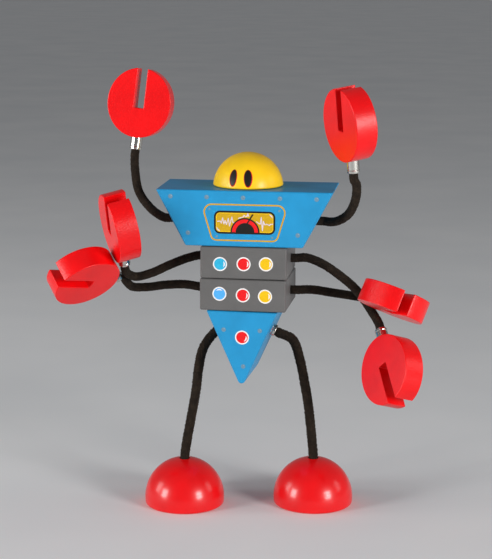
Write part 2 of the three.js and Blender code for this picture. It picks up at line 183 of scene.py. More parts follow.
def noise(tree, stretch, detail=4, roughness=0.6, baked=True):
    """Noise in the piece's own frame. stretch is the number of features per metre along X, Y and Z.

    A baked piece keeps its own frame in an attribute. CAD nodes and the floor have object coordinates.
    """
    nodes, links = tree.nodes, tree.links
    coords = nodes.new("ShaderNodeAttribute" if baked else "ShaderNodeTexCoord")
    if baked:
        coords.attribute_name = OWN_PLACE
    mapping = nodes.new("ShaderNodeMapping")
    mapping.inputs["Scale"].default_value = stretch
    texture = nodes.new("ShaderNodeTexNoise")
    texture.inputs["Scale"].default_value = 1
    texture.inputs["Detail"].default_value = detail
    texture.inputs["Roughness"].default_value = roughness
    links.new(coords.outputs["Vector" if baked else "Object"], mapping.inputs["Vector"])
    links.new(mapping.outputs["Vector"], texture.inputs["Vector"])
    return texture.outputs["Fac"]


def ramp(tree, factor, stops):
    """A colour ramp: stops are (position, linear colour)."""
    made = tree.nodes.new("ShaderNodeValToRGB")
    made.color_ramp.elements[0].position, made.color_ramp.elements[0].color = stops[0]
    made.color_ramp.elements[1].position, made.color_ramp.elements[1].color = stops[-1]
    for position, color in stops[1:-1]:
        made.color_ramp.elements.new(position).color = color
    tree.links.new(factor, made.inputs["Fac"])
    return made.outputs["Color"]


def spread(tree, factor, low, high):
    """A factor of 0 to 1 as a value from low to high."""
    made = tree.nodes.new("ShaderNodeMapRange")
    made.inputs["To Min"].default_value = low
    made.inputs["To Max"].default_value = high
    tree.links.new(factor, made.inputs["Value"])
    return made.outputs["Result"]


def bumps(tree, principled, layers):
    """Stacks bump layers of (height, depth in metres)."""
    normal = None
    for height, depth in layers:
        made = tree.nodes.new("ShaderNodeBump")
        made.inputs["Strength"].default_value = 1
        made.inputs["Distance"].default_value = depth
        tree.links.new(height, made.inputs["Height"])
        if normal:
            tree.links.new(normal, made.inputs["Normal"])
        normal = made.outputs["Normal"]
    tree.links.new(normal, principled.inputs["Normal"])


def shade(color, factor):
    """A linear colour made darker or lighter."""
    return [c * factor for c in color[:3]] + [1]


def painted_wood(name, color, roughness, grain_along, grain_depth, peel_depth, coat=0.1, coat_roughness=0.22):
    """Thick toy paint over wood: the grain shows through faintly, and the coat has a slight orange peel."""
    made, tree, principled = shader(
        name, roughness, Coat_Weight=coat, Coat_Roughness=coat_roughness, Specular_IOR_Level=0.3)
    base = linear(color)
    grain_stretch = [1600, 1600, 1600]
    grain_stretch[grain_along] = 110
    grain = noise(tree, grain_stretch, detail=5, roughness=0.65)
    blotch = noise(tree, (45, 45, 45), detail=3)
    peel = noise(tree, (950, 950, 950), detail=3)
    stops = [(0.25, shade(base, 0.86)), (0.5, base), (0.8, shade(base, 1.1))]
    tree.links.new(ramp(tree, blotch, stops), principled.inputs["Base Color"])
    tree.links.new(spread(tree, grain, roughness * 0.8, roughness * 1.3), principled.inputs["Roughness"])
    bumps(tree, principled, [(grain, grain_depth), (peel, peel_depth)])
    return made


def ink(name, color, roughness=0.5):
    """Screen-printed ink, a little uneven in its cover."""
    made, tree, principled = shader(
        name, roughness, Coat_Weight=0.08, Coat_Roughness=0.25, Specular_IOR_Level=0.3)
    base = linear(color)
    cover = noise(tree, (1500, 1500, 1500), detail=3)
    stops = [(0.3, shade(base, 0.88)), (0.7, shade(base, 1.04))]
    tree.links.new(ramp(tree, cover, stops), principled.inputs["Base Color"])
    bumps(tree, principled, [(cover, 0.000003)])
    return made


def brushed_cloth():
    """Dark brushed cloth: a soft nap of mixed dark browns."""
    made, tree, principled = shader(
        "cloth", 0.95, Sheen_Weight=0.15, Sheen_Roughness=0.5, Sheen_Tint=linear("7a6a58"),
        Specular_IOR_Level=0.2)
    nap = noise(tree, (2600, 2600, 2600), detail=6, roughness=0.75)
    patches = noise(tree, (320, 320, 320), detail=3)
    mix = tree.nodes.new("ShaderNodeMath")
    mix.operation = "MULTIPLY"
    tree.links.new(nap, mix.inputs[0])
    tree.links.new(spread(tree, patches, 0.6, 1.4), mix.inputs[1])
    stops = [(0.25, linear("0d0a08")), (0.5, linear("1f1812")), (0.8, linear("44382b"))]
    tree.links.new(ramp(tree, mix.outputs[0], stops), principled.inputs["Base Color"])
    bumps(tree, principled, [(patches, 0.00025), (nap, 0.00012)])
    return made


def metal(name, color, roughness, brush_along, brush_depth, baked=True):
    """Plated or drawn metal with fine marks along one axis of the piece."""
    made, tree, principled = shader(name, roughness, Metallic=1)
    base = linear(color)
    stretch = [2400, 2400, 2400]
    stretch[brush_along] = 90
    marks = noise(tree, stretch, detail=4, baked=baked)
    dull = noise(tree, (260, 260, 260), detail=3, baked=baked)
    stops = [(0.3, shade(base, 0.85)), (0.75, base)]
    tree.links.new(ramp(tree, dull, stops), principled.inputs["Base Color"])
    tree.links.new(spread(tree, dull, roughness * 0.75, roughness * 1.6), principled.inputs["Roughness"])
    bumps(tree, principled, [(marks, brush_depth)])
    return made


BLUE = painted_wood("blue_paint", "2191c6", 0.42, 0, 0.00003, 0.00001, coat=0.04)
GREY = painted_wood("grey_paint", "636261", 0.5, 0, 0.00004, 0.00002)
RED = painted_wood("red_paint", "ee070d", 0.29, 1, 0.00005, 0.00012, coat=0.15, coat_roughness=0.3)
GLOSS_RED = painted_wood("gloss_red_paint", "e6080f", 0.3, 0, 0.000015, 0.000006, coat=0.4,
                          coat_roughness=0.15)
YELLOW = painted_wood("yellow_paint", "ffcf16", 0.38, 0, 0.000015, 0.000006, coat=0.15, coat_roughness=0.22)
CLOTH = brushed_cloth()
NICKEL = metal("nickel", "d9d7d0", 0.16, 2, 0.000008)
WIRE = metal("wire_steel", "8d9092", 0.38, 2, 0.00002)
MAGNET = metal("magnet_plating", "55595d", 0.32, 0, 0.000015, baked=False)
BLACK_INK = ink("black_ink", "14120f")
RED_INK = ink("red_ink", "ee1016")
YELLOW_INK = ink("yellow_ink", "f4c400")
GOLD_INK = ink("gold_ink", "cfa410")
OCHRE_INK = ink("ochre_ink", "d0a010")
WHITE_INK = ink("white_ink", "f2f0ee")
LILAC_INK = ink("lilac_ink", "ded2dc")
CYAN_INK = ink("cyan_ink", "2fb6df")
SKY_INK = ink("sky_ink", "55b2f4")
RIVET_INK = ink("rivet_ink", "6b8ea4")
RIVET_SHINE_INK = ink("rivet_shine_ink", "93abb8")


# ---------------------------------------------------------------- meshes


def add_object(name, data):
    made = bpy.data.objects.new(name, data)
    bpy.context.scene.collection.objects.link(made)
    return made


def metre_mesh(bm, name):
    """The bmesh, drawn in millimetres, as a mesh in metres."""
    mesh = bpy.data.meshes.new(name)
    bm.to_mesh(mesh)
    bm.free()
    mesh.transform(Matrix.Scale(MM, 4))
    return mesh


def to_mesh(bm, name, smooth_under=SMOOTH_UNDER):
    """The bmesh, drawn in millimetres, as a smooth-shaded mesh in metres that keeps its sharp corners."""
    bmesh.ops.recalc_face_normals(bm, faces=bm.faces)
    mesh = metre_mesh(bm, name)
    mesh.shade_smooth()
    mesh.set_sharp_from_angle(angle=math.radians(smooth_under))
    return mesh


def prism(outline, depth):
    """A closed solid: the outline's two coordinates are X and Y, and it is as thick as depth, about Z = 0."""
    bm = bmesh.new()
    sides = []
    for z in (-depth / 2, depth / 2):
        sides.append([bm.verts.new((x, y, z)) for x, y in outline])
    bm.faces.new(list(reversed(sides[0])))
    bm.faces.new(sides[1])
    for i in range(len(outline)):
        j = (i + 1) % len(outline)
        bm.faces.new((sides[0][i], sides[0][j], sides[1][j], sides[1][i]))
    bmesh.ops.recalc_face_normals(bm, faces=bm.faces)
    return bm


def round_edges(bm, radius, over=35, segments=3):
    """Rounds every edge that turns by more than the given angle."""
    sharp = [e for e in bm.edges if len(e.link_faces) == 2 and e.calc_face_angle() > math.radians(over)]
    bmesh.ops.bevel(bm, geom=sharp, offset=radius, segments=segments, profile=0.5, affect="EDGES")


def rod(radius, length, start, direction, sides=40):
    """A closed rod in millimetres that runs from a point in a direction, as a mesh in metres."""
    bm = bmesh.new()
    turn = Vector((0, 0, 1)).rotation_difference(Vector(direction)).to_matrix().to_4x4()
    place = Matrix.Translation(start) @ turn @ Matrix.Translation((0, 0, length / 2))
    bmesh.ops.create_cone(
        bm, cap_ends=True, segments=sides, radius1=radius, radius2=radius, depth=length, matrix=place)
    return to_mesh(bm, "rod")


def cut(mesh, tools):
    """The mesh with every tool cut out of it."""
    target = add_object("target", mesh)
    cutters = []
    for tool in tools:
        cutter = add_object("cutter", tool)
        modifier = target.modifiers.new("cut", "BOOLEAN")
        modifier.operation = "DIFFERENCE"
        modifier.solver = "EXACT"
        modifier.object = cutter
        cutters.append(cutter)
    result = bpy.data.meshes.new_from_object(target.evaluated_get(bpy.context.evaluated_depsgraph_get()))
    for used in [target, *cutters]:
        bpy.data.objects.remove(used)
    result.shade_smooth()
    result.set_sharp_from_angle(angle=math.radians(SMOOTH_UNDER))
    return result


def lathe(profile, sides):
    """A solid turned about Z from (radius, height) points that start and end on the axis."""
    bm = bmesh.new()
    rings = []
    for radius, height in profile:
        if radius == 0:
            rings.append([bm.verts.new((0, 0, height))])
            continue
        turns = [2 * math.pi * i / sides for i in range(sides)]
        rings.append([bm.verts.new((radius * math.cos(a), radius * math.sin(a), height)) for a in turns])
    for low, high in zip(rings, rings[1:]):
        for i in range(sides):
            j = (i + 1) % sides
            corners = [low[i % len(low)], low[j % len(low)], high[j % len(high)], high[i % len(high)]]
            bm.faces.new(list(dict.fromkeys(corners)))
    return bm


def arc(centre, radius, start, end, steps):
    """Points on a circle, from one angle to another, in degrees."""
    points = []
    for i in range(steps + 1):
        a = math.radians(start + (end - start) * i / steps)
        points.append((centre[0] + radius * math.cos(a), centre[1] + radius * math.sin(a)))
    return points


def keep_places(mesh):
    """Stores where each point is in the piece's own frame, for its materials to follow."""
    stored = mesh.attributes.new(OWN_PLACE, "FLOAT_VECTOR", "POINT")
    for i, vertex in enumerate(mesh.vertices):
        stored.data[i].vector = vertex.co


def piece(name, mesh, place, body, slot, *nodes, material=None, flat=False):
    """Adds a piece in a block's or its own frame. flat keeps broad faces flat beside their rounded edges."""
    keep_places(mesh)
    mesh.transform(place)
    made = add_object(name, mesh)
    if material:
        mesh.materials.clear()
        mesh.materials.append(material)
    if flat:
        made.modifiers.new("flat_faces", "WEIGHTED_NORMAL").keep_sharp = True
    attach(made, body)
    if nodes:
        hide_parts(*nodes)
    return made


# ---------------------------------------------------------------- blocks


def front_prism(outline):
    """A block from its front outline in X and Z, with rounded edges."""
    bm = prism(outline, DEPTH)
    round_edges(bm, EDGE)
    bm.transform(Matrix.Rotation(math.radians(90), 4, "X"))
    return to_mesh(bm, "block")


def stack_pocket(z, up):
    """The pocket of a disc magnet that lies flush in a block's top or bottom face."""
    length = STACK_MAGNET_LENGTH + GAP
    start = z - length if up else z - PAST
    return rod(STACK_MAGNET_RADIUS + GAP, length + PAST, (0, 0, start), (0, 0, 1))


def arm_holes(block):
    """The holes of a block's arms: deep for a glued sleeve, and shallow for a ball."""
    tools = []
    for _, own, x, z, elbow, *_ in ARMS:
        if own != block:
            continue
        side = math.copysign(1, x)
        depth, radius = (GLUED_DEPTH + GAP, SLEEVE_RADIUS + GAP) if elbow else (SOCKET_DEPTH, SOCKET_RADIUS)
        tools.append(rod(radius, depth + SIDE_PAST, (x + side * SIDE_PAST, 0, z), (-side, 0, 0)))
    return tools


def chest():
    top, bottom = CHEST_WIDTH_TOP / 2, CHEST_WIDTH_BOTTOM / 2
    outline = [(-bottom, CHEST_BOTTOM), (bottom, CHEST_BOTTOM), (top, CHEST_TOP), (-top, CHEST_TOP)]
    tools = [stack_pocket(CHEST_TOP, True), stack_pocket(CHEST_BOTTOM, False), *arm_holes("chest")]
    return cut(front_prism(outline), tools)


def belly(block, bottom):
    half, top = BELLY_WIDTH / 2, bottom + BELLY_HEIGHT
    outline = [(-half, bottom), (half, bottom), (half, top), (-half, top)]
    bore = rod(STACK_MAGNET_RADIUS + GAP, BELLY_HEIGHT + 2 * PAST, (0, 0, bottom - PAST), (0, 0, 1))
    return cut(front_prism(outline), [bore, *arm_holes(block)])


def hip_out(side):
    """The direction straight out of the pelvis's slanted side."""
    return Vector((side * math.cos(SLOPE), 0, -math.sin(SLOPE)))


def hip_point(side, out):
    return Vector((side * HIP_X, 0, PELVIS_TOP - HIP_DROP)) + hip_out(side) * out


def pelvis():
    half, tip = PELVIS_WIDTH / 2, PELVIS_TOP - PELVIS_SHARP + PELVIS_TIP / math.sin(SLOPE)
    slope = math.degrees(SLOPE)
    outline = [(half, PELVIS_TOP), (-half, PELVIS_TOP)]
    outline += arc((0, tip), PELVIS_TIP, slope - 180, -slope, 12)
    tools = [stack_pocket(PELVIS_TOP, True)]
    for side in (-1, 1):
        start, inward = hip_point(side, PAST), -hip_out(side)
        seat = HIP_SEAT + GAP
        tools.append(rod(FERRULE_RADIUS + GAP, seat + PAST, start, inward))
        tools.append(rod(LIMB_MAGNET_RADIUS + GAP, seat + LIMB_MAGNET_LENGTH + GAP + PAST, start, inward))
    return cut(front_prism(outline), tools)


def dome(radius, middle, edge):
    """A half ball on a flat base. middle is the height of the ball's centre, and edge rounds its rim."""
    rim = math.sqrt((radius - edge) ** 2 - (edge - middle) ** 2)
    turn = math.degrees(math.atan2(edge - middle, rim))
    profile = [(0, 0)] + arc((rim, edge), edge, -90, turn, 6) + arc((0, middle), radius, turn, 90, 40)[1:-1]
    profile.append((0, middle + radius))
    return to_mesh(lathe(profile, 96), "dome")


def head():
    pocket = rod(STACK_MAGNET_RADIUS + GAP, STACK_MAGNET_LENGTH + GAP + PAST, (0, 0, -PAST), (0, 0, 1))
    return cut(dome(HEAD_RADIUS, HEAD_HEIGHT - HEAD_RADIUS, HEAD_EDGE), [pocket])


def foot():
    top = FOOT_DROP + FOOT_RADIUS
    hole = rod(SOCKET_RADIUS, LEG_DEPTH + GAP + DOME_PAST, (0, 0, top - LEG_DEPTH - GAP), (0, 0, 1))
    return cut(dome(FOOT_RADIUS, FOOT_DROP, FOOT_EDGE), [hole])


# ---------------------------------------------------------------- claws and ferrules


def claw():
    """An oval disc with a slot, in its own frame: +Y is out along the slot and Z is across the disc."""
    rx, ry, half = CLAW_WIDTH / 2, CLAW_LENGTH / 2, SLOT_WIDTH / 2
    lip = math.acos(half / rx)
    outline = [(-half, ry - SLOT_DEPTH), (half, ry - SLOT_DEPTH)]
    steps = 96
    for i in range(steps + 1):
        a = lip - (2 * math.pi - (math.pi - 2 * lip)) * i / steps
        outline.append((rx * math.cos(a), ry * math.sin(a)))
    bm = prism(outline, CLAW_THICKNESS)
    round_edges(bm, CLAW_EDGE)
    start = (0, -ry - PAST, 0)
    seat = rod(FERRULE_RADIUS + GAP, CLAW_SEAT + PAST, start, (0, 1, 0))
    pocket = rod(LIMB_MAGNET_RADIUS + GAP, CLAW_SEAT + LIMB_MAGNET_LENGTH + GAP + PAST, start, (0, 1, 0))
    return cut(to_mesh(bm, "claw"), [seat, pocket])


def ferrule():
    """A plated cup with its mouth at Z = 0: a rolled lip, a crimped groove and a broken edge at its end."""
    inner, outer, lip, chamfer, groove = SLEEVE_RADIUS + GAP, FERRULE_RADIUS, 0.3, 0.25, 0.18
    groove_starts, floor_starts, floor_ends, groove_ends = 1.5, 1.75, 2.05, 2.3
    profile = [(0, CUP_DEPTH), (inner, CUP_DEPTH), (inner, lip)]
    profile += arc((inner + lip, lip), lip, 180, 270, 5)[1:]
    profile += arc((outer - lip, lip), lip, -90, 0, 5)
    profile += [(outer, groove_starts), (outer - groove, floor_starts)]
    profile += [(outer - groove, floor_ends), (outer, groove_ends)]
    profile += [(outer, FERRULE_LENGTH - chamfer), (outer - chamfer, FERRULE_LENGTH), (0, FERRULE_LENGTH)]
    return to_mesh(lathe(profile, 64), "ferrule", smooth_under=25)


# ---------------------------------------------------------------- limbs


class Route:
    """A centripetal Catmull-Rom curve through points, measured along its length."""

    def __init__(self, points, per_span=24):
        points = [Vector(p) for p in points]
        points = [2 * points[0] - points[1], *points, 2 * points[-1] - points[-2]]
        self.samples = []
        for a, b, c, d in zip(points, points[1:], points[2:], points[3:]):
            gaps = [max(1e-4, (q - p).length ** 0.5) for p, q in ((a, b), (b, c), (c, d))]
            enter = ((b - a) / gaps[0] - (c - a) / (gaps[0] + gaps[1]) + (c - b) / gaps[1]) * gaps[1]
            leave = ((c - b) / gaps[1] - (d - b) / (gaps[1] + gaps[2]) + (d - c) / gaps[2]) * gaps[1]
            for i in range(per_span):
                t = i / per_span
                near = b * (2 * t**3 - 3 * t**2 + 1) + enter * (t**3 - 2 * t**2 + t)
                self.samples.append(near + c * (3 * t**2 - 2 * t**3) + leave * (t**3 - t**2))
        self.samples.append(points[-2])
        self.reach = [0]
        for p, q in zip(self.samples, self.samples[1:]):
            self.reach.append(self.reach[-1] + (q - p).length)

    def length(self):
        return self.reach[-1]

    def at(self, distance):
        distance = min(max(distance, 0), self.length())
        i = next(k for k, far in enumerate(self.reach[1:]) if far >= distance)
        share = (distance - self.reach[i]) / max(1e-9, self.reach[i + 1] - self.reach[i])
        return self.samples[i].lerp(self.samples[i + 1], share)


def stations(route, start, end, step):
    """Frames along a stretch of a route that don't twist: (point, forward, side)."""
    count = max(2, round((end - start) / step))
    centres = [route.at(start + (end - start) * i / count) for i in range(count + 1)]
    frames, side = [], None
    for i, centre in enumerate(centres):
        forward = (centres[min(i + 1, count)] - centres[max(i - 1, 0)]).normalized()
        if side is None:
            side = forward.orthogonal().normalized()
        side = (side - forward * side.dot(forward)).normalized()
        frames.append((centre, forward, side))
    return frames


def around(frame_at, radius, angle):
    """A point beside a station, at a radius and an angle about the route."""
    centre, forward, side = frame_at
    return centre + (side * math.cos(angle) + forward.cross(side) * math.sin(angle)) * radius


def tube(route, start, end, radius_at, inner, sides, step):
    """A closed tube along a route, with a bore if inner is given. radius_at gives the outside's radius."""
    bm = bmesh.new()
    frames = stations(route, start, end, step)
    angles = [2 * math.pi * k / sides for k in range(sides)]
    outside, inside = [], []
    for i, at in enumerate(frames):
        distance = start + (end - start) * i / (len(frames) - 1)
        outside.append([bm.verts.new(around(at, radius_at(distance), a)) for a in angles])
        if inner:
            inside.append([bm.verts.new(around(at, inner, a)) for a in angles])
    for rings in (outside, inside):
        for low, high in zip(rings, rings[1:]):
            for k in range(sides):
                j = (k + 1) % sides
                bm.faces.new((low[k], low[j], high[j], high[k]))
    for end_at in (0, -1):
        if inner:
            for k in range(sides):
                j = (k + 1) % sides
                ring, bore = outside[end_at], inside[end_at]
                bm.faces.new((ring[k], ring[j], bore[j], bore[k]))
        else:
            bm.faces.new(outside[end_at])
    bmesh.ops.recalc_face_normals(bm, faces=bm.faces)
    return bm


def napped(nap, thickness):
    """The cloth's radius at a distance along it: brushed up between nap's two distances, else smooth."""

    def radius_at(distance):
        cover = min(1, max(0, min(distance - nap[0], nap[1] - distance) / NAP_FADE))
        tuft = rng.random() ** 2 * thickness - rng.uniform(0, NAP_WEAR)
        return SLEEVE_RADIUS + cover * (thickness / NAP_BASE + tuft)

    return radius_at


def limb(name, route, nap, thickness, place, bodies, nodes):
    """The cloth sleeve and the wire of one limb, each one piece along the whole limb."""
    parent, child = bodies
    end = route.length()
    joint = Vector(joint_between(parent, child)["pos_m"])
    local = (place.inverted() @ joint) / MM
    per_mm = 4
    tries = range(0, round(route.length() * per_mm))
    at = min(tries, key=lambda k: (route.at(k / per_mm) - local).length) / per_mm
    reach = (at - BEND_SPAN, at + BEND_SPAN) if at >= BEND_SPAN else START_BEND
    near, far = (place @ (route.at(distance) * MM) for distance in reach)
    cloth = tube(route, 0, end, napped(nap, thickness), WIRE_RADIUS + GAP, CLOTH_SIDES, CLOTH_STEP)
    core = tube(route, 0, end, lambda distance: WIRE_RADIUS, 0, WIRE_SIDES, WIRE_STEP)
    parts = (
        (f"{name}_cloth", cloth, CLOTH, "cloth", "sleeve"),
        (f"{name}_core", core, WIRE, "wire", "wire"))
    for title, bm, look, slot, kind in parts:
        mesh = metre_mesh(bm, title)
        keep_places(mesh)
        mesh.transform(place)
        mesh.shade_smooth()
        mesh.materials.append(look)
        made = add_object(title, mesh)
        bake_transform(made)
        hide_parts(*(f"{node}_{kind}" for node in nodes))


def add_ferrule(name, node, mouth, direction, place, body):
    """A ferrule from its mouth to its closed end, which lies in the given direction."""
    turn = Vector((0, 0, 1)).rotation_difference(direction).to_matrix().to_4x4()
    at = place @ Matrix.Translation(mouth * MM) @ turn
    piece(name, ferrule(), at, body, "nickel", node, material=NICKEL)


def add_arm(name, block, x, z, elbow, points, claw_at, slot, face):
    """An arm with its ferrule and claw, from one row of ARMS."""
    place = block_frame(block)
    side = math.copysign(1, x)
    slot, face, claw_at = Vector(slot).normalized(), Vector(face), Vector(claw_at)
    mouth = claw_at + slot * (FERRULE_TIP - CLAW_LENGTH / 2 - FERRULE_LENGTH)
    start = GLUED_DEPTH if elbow else SOCKET_DEPTH - GAP
    outs = [-start, 0, GLUED_LEAD if elbow else BALL_OUT + BALL_LEAD]
    exits = [Vector((x + side * out, 0, z)) for out in outs]
    route = Route([*exits, *points, mouth - slot * CUP_LEAD, mouth, mouth + slot * SEATED])
    end = route.length()
    parent = BODY[block]
    nodes = [f"{name}_inner", f"{name}_outer"] if elbow else [name]
    limb(name, route, (start, end - SEATED), ARM_NAP, place, (parent, name), nodes)
    add_ferrule(f"{name}_cup", f"{name}_ferrule", mouth, slot, place, name)
    face = (face - slot * face.dot(slot)).normalized()
    across = slot.cross(face)
    turn = Matrix((across, slot, face)).transposed().to_4x4()
    at = place @ Matrix.Translation(claw_at * MM) @ turn
    body = name.replace("_arm", "_claw")
    piece(f"{name}_grip", claw(), at, body, "red_paint", f"{name}_claw", material=RED, flat=True)


def add_leg(name, side, foot_at, points):
    """A leg with its hip ferrule and foot, from one row of LEGS."""
    place = block_frame("pelvis")
    out = hip_out(side)
    mouth = hip_point(side, HIP_SHOWN)
    top = FOOT_DROP + FOOT_RADIUS
    ends = [Vector((*foot_at, top)), Vector((*foot_at, top - LEG_DEPTH))]
    route = Route([mouth - out * SEATED, mouth, hip_point(side, HIP_LEAD), *points, *ends])
    end = route.length()
    nodes = [f"{name}_thigh", f"{name}_shin"]
    limb(f"{name}_leg", route, (SEATED, end - LEG_DEPTH), LEG_NAP, place, tuple(nodes), nodes)
    add_ferrule(f"{name}_hip_cup", f"{name}_hip_ferrule", mouth, -out, place, nodes[0])
    at = place @ Matrix.Translation(Vector((*foot_at, 0)) * MM)
    piece(f"{name}_sole_dome", foot(), at, nodes[1], "red_paint", f"{name}_foot", material=GLOSS_RED)


# ---------------------------------------------------------------- printed decoration


class Print:
    """Flat ink shapes in X and Z on a block's front, each a hair thicker than the one under it."""

    LAYER = 0.03

    def __init__(self, name):
        self.name, self.bm, self.inks = name, bmesh.new(), []

    def ink_index(self, look):
        if look not in self.inks:
            self.inks.append(look)
        return self.inks.index(look)

    def face(self, points, look, layer):
        """A closed sliver of ink with this outline, which starts a hair inside the block."""
        index = self.ink_index(look)
        depths = (-DEPTH / 2 - layer * self.LAYER, -DEPTH / 2 + self.LAYER)
        front, back = ([self.bm.verts.new((px, y, pz)) for px, pz in points] for y in depths)
        self.bm.faces.new(front).material_index = index
        self.bm.faces.new(back).material_index = index
        for k in range(len(points)):
            sides = (front[k - 1], front[k], back[k], back[k - 1])
            self.bm.faces.new(sides).material_index = index

    def disc(self, centre, radius, look, layer):
        self.face(arc(centre, radius, 0, 360, 40)[:-1], look, layer)

    def stroke(self, points, width, look, layer, closed=False, tapered=False):
        """A line of the given width along points, with its ends drawn to a point if it is tapered."""
        count = len(points)
        sides = []
        for i in range(count):
            before = points[i - 1] if closed or i else points[0]
            after = points[(i + 1) % count] if closed or i < count - 1 else points[-1]
            along = Vector((after[0] - before[0], after[1] - before[1])).normalized()
            half = width / 2 * (math.sin(math.pi * i / (count - 1)) + 0.02 if tapered else 1)
            normal = Vector((-along.y, along.x)) * half
            at = Vector(points[i])
            sides.append((at + normal, at - normal))
        for i in range(count if closed else count - 1):
            j = (i + 1) % count
            self.face([sides[i][0], sides[i][1], sides[j][1], sides[j][0]], look, layer)

    def zigzag(self, points, width, look, layer):
        """A jagged line: straight strokes that overlap at its corners, each second one a little thicker."""
        for i, (start, end) in enumerate(zip(points, points[1:])):
            start, end = Vector(start), Vector(end)
            over = (end - start).normalized() * width / 3
            normal = Vector((-over.y, over.x)) * 1.5
            start, end = start - over, end + over
            corners = [start + normal, start - normal, end - normal, end + normal]
            self.face(corners, look, layer + 0.4 * (i % 2))

    def finish(self, block):
        bmesh.ops.recalc_face_normals(self.bm, faces=self.bm.faces)
        mesh = metre_mesh(self.bm, self.name)
        for look in self.inks:
            mesh.materials.append(look)
        slot = "grey_paint" if block in ("upper", "lower") else "blue_paint"
        piece(self.name, mesh, block_frame(block), BODY[block], slot)


def rounded(corners, radius, steps=8):
    """A polygon's outline with its corners rounded. radius is one for each corner."""
    outline = []
    count = len(corners)
    for i in range(count):
        at = Vector(corners[i])
        back = (Vector(corners[i - 1]) - at).normalized()
        ahead = (Vector(corners[(i + 1) % count]) - at).normalized()
        half = back.angle(ahead) / 2
        centre = at + (back + ahead).normalized() * radius[i] / math.sin(half)
        first, last = (at + way * radius[i] / math.tan(half) - centre for way in (back, ahead))
        for k in range(steps + 1):
            outline.append(tuple(centre + first.slerp(last, k / steps) * radius[i]))
    return outline


BUTTON = {"ring": 3.95, "middle": 3.25, "shine": 2.4, "shine_width": 0.75}
RIVET, SMALL_RIVET = 1.25, 0.65


def button(sheet, centre, look, shine=0):
    """A round button: a white ring, a coloured middle, and a curved highlight turned by shine degrees."""
    sheet.disc(centre, BUTTON["ring"], WHITE_INK, 1)
    sheet.disc(centre, BUTTON["middle"], look, 2)
    highlight = arc(centre, BUTTON["shine"], shine - 45, shine + 42, 12)
    sheet.stroke(highlight, BUTTON["shine_width"], WHITE_INK, 3, tapered=True)


def rivet(sheet, centre, radius):
    """A round rivet with a curved highlight at its upper right."""
    sheet.disc(centre, radius, RIVET_INK, 1)
    shine = arc(centre, radius * 0.55, 20, 100, 6)
    sheet.stroke(shine, radius * 0.3, RIVET_SHINE_INK, 2, tapered=True)


WINDOW = {"left": -16.4, "right": 17.4, "low": 160.7, "high": 173.5, "corner": 3.3, "border": 1.05}
YELLOW_BORDER = 0.45
DIAL = {"x": 0.8, "core": 5.2, "band": 7.2, "rim": 8}
NEEDLE = {"points": [(1.3, 165.6), (2.4, 167.4), (5.1, 171.8)], "width": 0.75}
OUTLINE = {
    "corners": [(-23.3, 176.9), (24.1, 176.9), (18.2, 157.1), (-17.4, 157.1)],
    "radii": (4.2, 4.2, 3.2, 3.2), "width": 0.85}
# The curved highlights in two of the window's corners.
GLINT = {"inset": 3.9, "radius": 2.3, "turn": 75, "width": 0.7}
# The trace is drawn as (distance from the window's middle, height above its axis), and the axis lies a
# little above the window's middle.
TRACE_RISE, TRACE_WIDTH = 0.4, 0.5
TRACE_LEFT = [(-15, 0), (-13.4, 0.2), (-12.8, -0.9), (-12.1, 2), (-11.4, -1.3), (-10.7, 0.6), (-10, -1.7),
              (-9, 1.8), (-8.3, -2.4), (-7, 2.6), (-6.4, -0.4), (-5.4, -0.6)]
TRACE_MIDDLE = [(-3.4, 1.9), (-2.2, 2.4), (-0.9, 2.7), (-0.2, 3.7), (0.4, 3), (1.3, 3.2), (1.8, 4.7),
                (2.3, 3.2)]
TRACE_RIGHT = [(6.6, 0.3), (7.9, -0.6), (8.7, -0.9), (9.2, 2.8), (9.9, -4.6), (10.4, 0.6), (11.2, -1.3),
               (12.4, -0.9), (13.6, -1.6), (14.4, -0.9), (15.6, -0.8)]


def chest_print():
    sheet = Print("chest_print")
    for x in (-40.6, -20.5, -0.4, 19.9, 39.9):
        rivet(sheet, (x, CHEST_TOP - 3.8), RIVET)
    for x in (-30.9, 29.8):
        rivet(sheet, (x, CHEST_BOTTOM + 7.2), RIVET)
    for x, z in ((-19, 174.2), (19.6, 174), (-14.9, 159.2), (15.7, 159)):
        rivet(sheet, (x, z), SMALL_RIVET)
    outline = rounded(OUTLINE["corners"], OUTLINE["radii"])
    sheet.stroke(outline, OUTLINE["width"], OCHRE_INK, 1, closed=True)
    left, right, low, high = (WINDOW[k] for k in ("left", "right", "low", "high"))

    def window(inset, look, layer):
        corners = [(left + inset, high - inset), (right - inset, high - inset),
                   (right - inset, low + inset), (left + inset, low + inset)]
        sheet.face(rounded(corners, [WINDOW["corner"] - inset] * 4), look, layer)

    border = WINDOW["border"]
    window(0, BLACK_INK, 1)
    window(border, YELLOW_INK, 2)
    window(border + YELLOW_BORDER, GOLD_INK, 3)
    middle_x, axis_z = (left + right) / 2, (low + high) / 2 + TRACE_RISE
    for trace in (TRACE_LEFT, TRACE_MIDDLE, TRACE_RIGHT):
        sheet.zigzag([(middle_x + x, axis_z + z) for x, z in trace], TRACE_WIDTH, LILAC_INK, 4)
    inset, turn = GLINT["inset"], GLINT["turn"]
    for centre, start in (((right - inset, high - inset), 5), ((left + inset, low + inset), 185)):
        glint = arc(centre, GLINT["radius"], start, start + turn, 10)
        sheet.stroke(glint, GLINT["width"], LILAC_INK, 5, tapered=True)
    dial = (DIAL["x"], low + border)
    for part, look, layer in (("rim", BLACK_INK, 5), ("band", RED_INK, 6), ("core", BLACK_INK, 7)):
        sheet.face(arc(dial, DIAL[part], 0, 180, 32), look, layer)
    sheet.stroke(NEEDLE["points"], NEEDLE["width"], BLACK_INK, 8)
    sheet.finish("chest")


